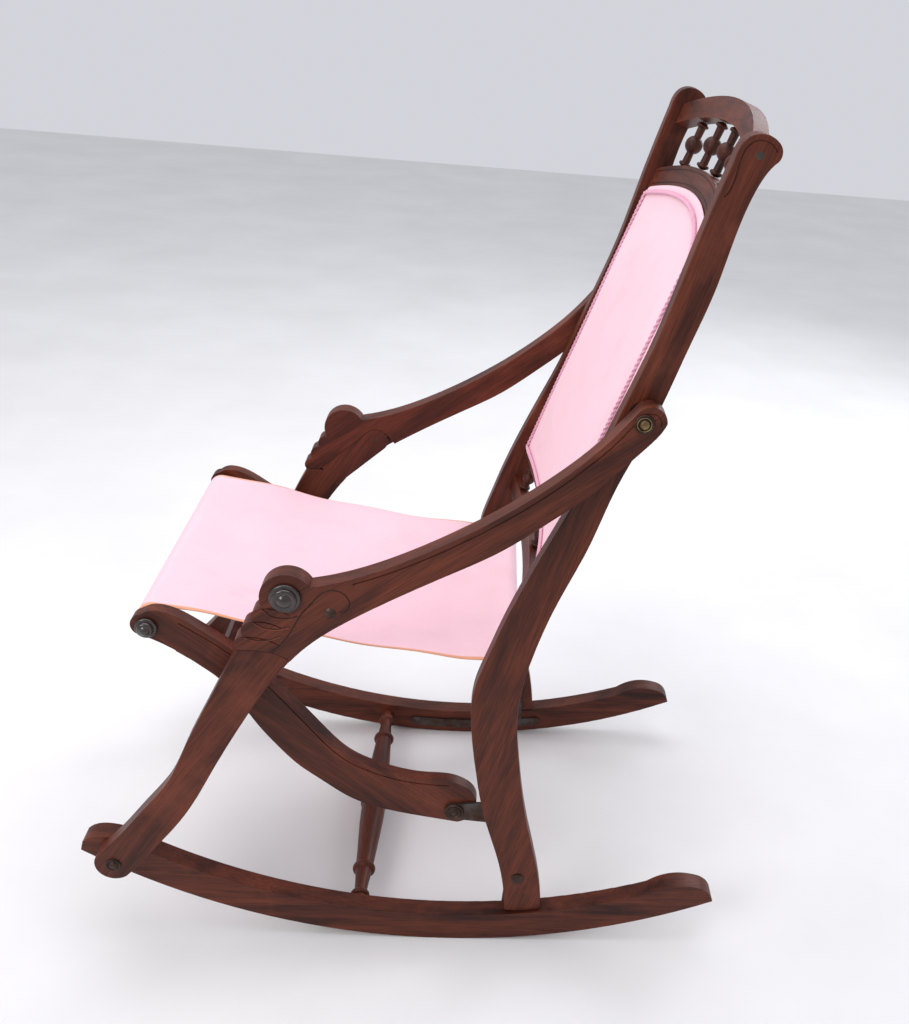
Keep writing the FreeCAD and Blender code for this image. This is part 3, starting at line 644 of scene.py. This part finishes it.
def tube_along(name, points, radius, closed=False, flat=1.0):
    # A round or flattened strand that follows points, made from a curve and turned into a mesh.
    bpy.ops.object.select_all(action="DESELECT")
    bpy.ops.curve.primitive_nurbs_path_add(location=(0, 0, 0))
    obj = bpy.context.object
    obj.name = name
    curve = obj.data
    curve.splines.clear()
    spline = curve.splines.new("NURBS")
    spline.points.add(len(points) - 1)
    for target, point in zip(spline.points, points):
        target.co = (*point, 1.0)
    spline.order_u = 3
    spline.use_endpoint_u = not closed
    spline.use_cyclic_u = closed
    curve.dimensions = "3D"
    curve.resolution_u = 3
    curve.bevel_depth = radius
    curve.bevel_resolution = 2
    curve.use_fill_caps = True
    choose(obj)
    bpy.ops.object.convert(target="MESH")
    obj = bpy.context.object
    obj.name = name
    obj.location = (0, 0, 0)
    bpy.ops.object.shade_smooth()
    return obj


class ROCKER_OT_braid(bpy.types.Operator):
    """Gimp braid round the upholstered back: two cords twisted over one another"""
    bl_idname = "rocker.braid"
    bl_label = "Gimp braid"

    def execute(self, context):
        half = 0.1790
        inset = 0.0110
        wide = cloth().braid_width
        steps = 120
        path = []
        low_z = PANEL_LOW + inset

        def high_z(y):
            return PANEL_TOP + arch(y) - inset

        for i in range(steps):
            y = -half + 2 * half * i / steps
            path.append((y, low_z))
        for i in range(steps):
            path.append((half, low_z + (high_z(half) - low_z) * i / steps))
        for i in range(steps):
            y = half - 2 * half * i / steps
            path.append((y, high_z(y)))
        for i in range(steps):
            path.append((-half, high_z(half) - (high_z(half) - low_z) * i / steps))
        deep = tuple(c * 0.6 for c in finish().braid_tone)
        material = plush_cloth("gimp_braid", finish().braid_tone, deep, 1500.0)
        twist = 0.0062
        for strand in range(2):
            points = []
            run = 0.0
            for i, (y, z) in enumerate(path):
                after = path[(i + 1) % len(path)]
                dy, dz = after[0] - y, after[1] - z
                n = math.hypot(dy, dz) or 1.0
                phase = run / twist * math.pi + strand * math.pi
                side = math.sin(phase) * wide * 0.24
                lift = 0.0011 * math.cos(phase)
                run += n
                points.append(on_back(-0.0043 + bow(y) - lift, y - dz / n * side, z + dy / n * side))
            strand_obj = tube_along("braid_strand_%d" % (strand + 1), points, 0.0014, closed=True)
            give(strand_obj, material)
            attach(strand_obj, "back_frame")
        return {"FINISHED"}


# Carved lines on the arm's head, as side-view places in millimetres.
SCALLOPS = (
    ((-155.0, 483.8), (-151.2, 478.0), (-144.2, 474.2), (-132.1, 473.0), (-123.9, 474.7), (-119.8, 477.3)),
    ((-164.7, 467.6), (-158.8, 462.4), (-149.8, 459.9), (-137.5, 459.9), (-128.2, 463.5)),
    ((-174.6, 448.7), (-167.6, 446.0), (-158.4, 444.7), (-148.1, 446.5), (-137.2, 452.0)),
)
HEAD_SCROLL = (
    (-148.5, 431.5), (-141.5, 436.0), (-128.5, 453.7), (-116.7, 478.7), (-109.4, 487.5), (-100.6, 499.4),
    (-94.0, 506.7), (-85.9, 510.4), (-75.8, 509.1), (-69.7, 504.1), (-65.7, 496.3), (-66.7, 490.3),
    (-71.3, 485.1), (-77.2, 483.7),
)


class ROCKER_OT_carving(bpy.types.Operator):
    """Carved scallops and scroll on the arm heads, and scratched lines along the upper rail, drawn as thin
    strands: dark ones of painted shade in the grooves, light ones of painted highlight along the scallops'
    lips
    """
    bl_idname = "rocker.carving"
    bl_label = "Carved lines"

    def line(self, name, points, radius, material, body):
        strand = tube_along(name, points, radius)
        give(strand, material)
        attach(strand, body)

    def execute(self, context):
        # Darker copy of the stain (0.30): painted shade, laid as dark strands in the scallop cuts, the head
        # scroll and the rail lines.
        shadow = stained_wood("stain_carving", (1, 0, 0), 0.30)
        # Lighter copy of the stain (1.9): a painted highlight, laid as strands along the lit lips just below
        # the scallop cuts.
        wear_and_highlight = stained_wood("stain_worn_edge", (1, 0, 0), 1.9)
        for hand, side in HANDS:
            arm = "arm_%s_link" % hand
            outer = side * ARM_FACE
            for i, places in enumerate(SCALLOPS, start=1):
                cut = [(x / 1000, outer, z / 1000) for x, z in places]
                lip = [(x / 1000, outer, z / 1000 - 0.0011) for x, z in places]
                self.line("scallop_cut_%d_%s" % (i, hand), cut, 0.0007, shadow, arm)
                self.line("scallop_lip_%d_%s" % (i, hand), lip, 0.0006, wear_and_highlight, arm)
            scroll = [(x / 1000, outer, z / 1000) for x, z in HEAD_SCROLL]
            self.line("head_scroll_" + hand, scroll, 0.0007, shadow, arm)
        # Dark strands of painted shade along the incised rail lines.
        for name, height in (("upper", 0.4030), ("lower", 0.3868)):
            points = []
            for i in range(41):
                y = -0.190 + 0.380 * i / 40
                points.append(on_back(0.0029 + bow(y), y, height + arch(y)))
            self.line("rail_line_" + name, points, 0.0006, shadow, "back_frame")
        return {"FINISHED"}


class ROCKER_OT_stage(bpy.types.Operator):
    """Pale floor, soft studio lamps and the camera at the photograph's viewing angle"""
    bl_idname = "rocker.stage"
    bl_label = "Stage and camera"

    def execute(self, context):
        scene = context.scene
        bpy.ops.mesh.primitive_plane_add(size=9.0, location=(0, 1.2, -0.0002))
        floor = context.object
        floor.name = "studio_floor"
        material, nodes, links, shader = new_finish("studio_pale")
        shader.inputs["Roughness"].default_value = 0.9
        plain = object_mapping(nodes, links)
        cloud = noise(nodes, links, plain, 3.0)
        links.new(ramp(nodes, links, cloud, [(0.3, (0.76, 0.75, 0.74)), (0.7, (0.82, 0.81, 0.80))]),
                  shader.inputs["Base Color"])
        give(floor, material)
        settle(floor)
        world = scene.world or bpy.data.worlds.new("studio")
        scene.world = world
        world.use_nodes = True
        world.node_tree.nodes["Background"].inputs["Color"].default_value = (0.86, 0.88, 0.94, 1.0)
        world.node_tree.nodes["Background"].inputs["Strength"].default_value = 0.75
        lamps = (
            ("overhead", (-0.1, 0.2, 2.6), (0, 0, 0.4), 2.4, 42.0, (0.93, 0.93, 1.0)),
            ("key", (-1.8, -1.9, 1.9), (0, 0, 0.45), 1.3, 30.0, (1.0, 0.97, 0.94)),
            ("rim", (1.6, 1.8, 1.6), (0, 0, 0.5), 1.2, 18.0, (0.95, 0.96, 1.0)),
        )
        for name, place, target, size, power, colour in lamps:
            data = bpy.data.lights.new(name, "AREA")
            data.size = size
            data.energy = power
            data.color = colour
            lamp = bpy.data.objects.new(name, data)
            lamp.location = place
            direction = Vector(target) - Vector(place)
            lamp.rotation_euler = direction.to_track_quat("-Z", "Y").to_euler()
            scene.collection.objects.link(lamp)
        data = bpy.data.cameras.new("photo_camera")
        camera = bpy.data.objects.new("photo_camera", data)
        scene.collection.objects.link(camera)
        width = 909.0
        focal = 1100.0
        data.sensor_fit = "HORIZONTAL"
        data.sensor_width = 36.0
        data.lens = focal / width * 36.0
        data.shift_x = -(562.0 - width / 2) / width
        data.shift_y = (515.0 - 512.0) / width
        data.clip_start = 0.05
        data.clip_end = 30.0
        yaw, pitch, roll = math.radians(-2.77), math.radians(26.5), math.radians(4.87)
        yaw_turn = Matrix(((math.cos(yaw), math.sin(yaw), 0), (-math.sin(yaw), math.cos(yaw), 0), (0, 0, 1)))
        cp, sp = math.cos(pitch), math.sin(pitch)
        pitch_turn = Matrix(((1, 0, 0), (0, cp, -sp), (0, sp, cp)))
        eye = pitch_turn @ yaw_turn
        c, s = math.cos(roll), math.sin(roll)
        stand = Matrix(((c, 0, -s), (0, 1, 0), (s, 0, c)))
        right, forward, up = (stand @ eye.row[i] for i in range(3))
        turn = Matrix((right, up, -forward)).transposed().to_4x4()
        camera.matrix_world = Matrix.Translation(Vector((0.05455, -1.223, 1.09366))) @ turn
        scene.camera = camera
        scene.view_settings.view_transform = "Standard"
        return {"FINISHED"}


class ROCKER_PT_panel(bpy.types.Panel):
    """Lists the pieces and finishes of the rocker"""
    bl_label = "Folding rocker"
    bl_idname = "ROCKER_PT_panel"
    bl_space_type = "VIEW_3D"
    bl_region_type = "UI"
    bl_category = "Rocker"

    def draw(self, context):
        layout = self.layout
        for group in (context.scene.rocker_finish, context.scene.rocker_cloth):
            for key in group.__annotations__:
                layout.prop(group, key)
        for operator in OPERATORS:
            layout.operator(operator.bl_idname)


OPERATORS = (
    ROCKER_OT_stage, ROCKER_OT_wood, ROCKER_OT_fittings, ROCKER_OT_sling, ROCKER_OT_back_panel,
    ROCKER_OT_back_lining, ROCKER_OT_braid, ROCKER_OT_carving,
)
CLASSES = (RockerFinish, RockerCloth) + OPERATORS + (ROCKER_PT_panel,)


def register():
    for item in CLASSES:
        bpy.utils.register_class(item)
    bpy.types.Scene.rocker_finish = bpy.props.PointerProperty(type=RockerFinish)
    bpy.types.Scene.rocker_cloth = bpy.props.PointerProperty(type=RockerCloth)


def unregister():
    del bpy.types.Scene.rocker_cloth
    del bpy.types.Scene.rocker_finish
    for item in reversed(CLASSES):
        bpy.utils.unregister_class(item)


def main():
    register()
    bpy.ops.rocker.stage()
    bpy.ops.rocker.wood()
    bpy.ops.rocker.fittings()
    bpy.ops.rocker.sling()
    bpy.ops.rocker.back_panel()
    bpy.ops.rocker.back_lining()
    bpy.ops.rocker.braid()
    bpy.ops.rocker.carving()


if __name__ == "__main__":
    main()
